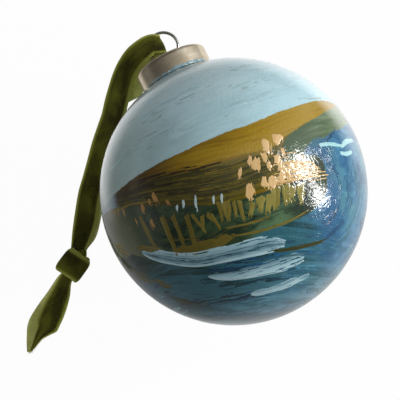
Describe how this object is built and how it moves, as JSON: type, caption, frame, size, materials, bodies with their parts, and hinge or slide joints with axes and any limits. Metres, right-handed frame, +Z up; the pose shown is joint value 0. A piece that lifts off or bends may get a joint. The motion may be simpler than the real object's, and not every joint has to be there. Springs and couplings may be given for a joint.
{
  "type": "christmas bauble",
  "caption": "Hand-painted glass ball ornament with a sprung metal cap, a wire eye and a knotted velvet hanging ribbon, lying on its side.",
  "frame": {"origin": "centre of the hanger wire's eye, through which the ornament is hung", "axes": "+Y runs along the ornament's axis from the ball's centre to the eye; +Z points up, away from the surface under the ball; +X completes the right-handed set, and the ribbon lies on the -X side"},
  "size_m": [0.1563, 0.1189, 0.1],
  "materials": {
    "glass": "clear, hidden under the paint",
    "painted_coat": "acrylic paint under glossy varnish",
    "cap_metal": "brushed champagne nickel",
    "wire_steel": "bright drawn wire",
    "velvet": "olive velvet, lighter at the pile's edges"
  },
  "bodies": {
    "ball": {"glass_ball": "glass", "paint_coat": "painted_coat"},
    "cap": {"cap": "cap_metal"},
    "hanger": {"hanger_wire": "wire_steel"},
    "ribbon": {"ribbon_loop": "velvet", "ribbon_knot": "velvet", "ribbon_tail_upper": "velvet", "ribbon_tail_lower": "velvet"}
  },
  "joints": [
    {"name": "cap_pull", "type": "slide", "parent": "ball", "child": "cap", "axis": [0, 1, 0], "range_m": [0, 0.02]},
    {"name": "hanger_draw", "type": "slide", "parent": "cap", "child": "hanger", "axis": [0, 1, 0], "range_m": [0, 0.0015]},
    {"name": "ribbon_turn", "type": "hinge", "parent": "hanger", "child": "ribbon", "pos_m": [0, 0, 0], "axis": [0, 0, -1], "range_deg": [0, 100]}
  ]
}
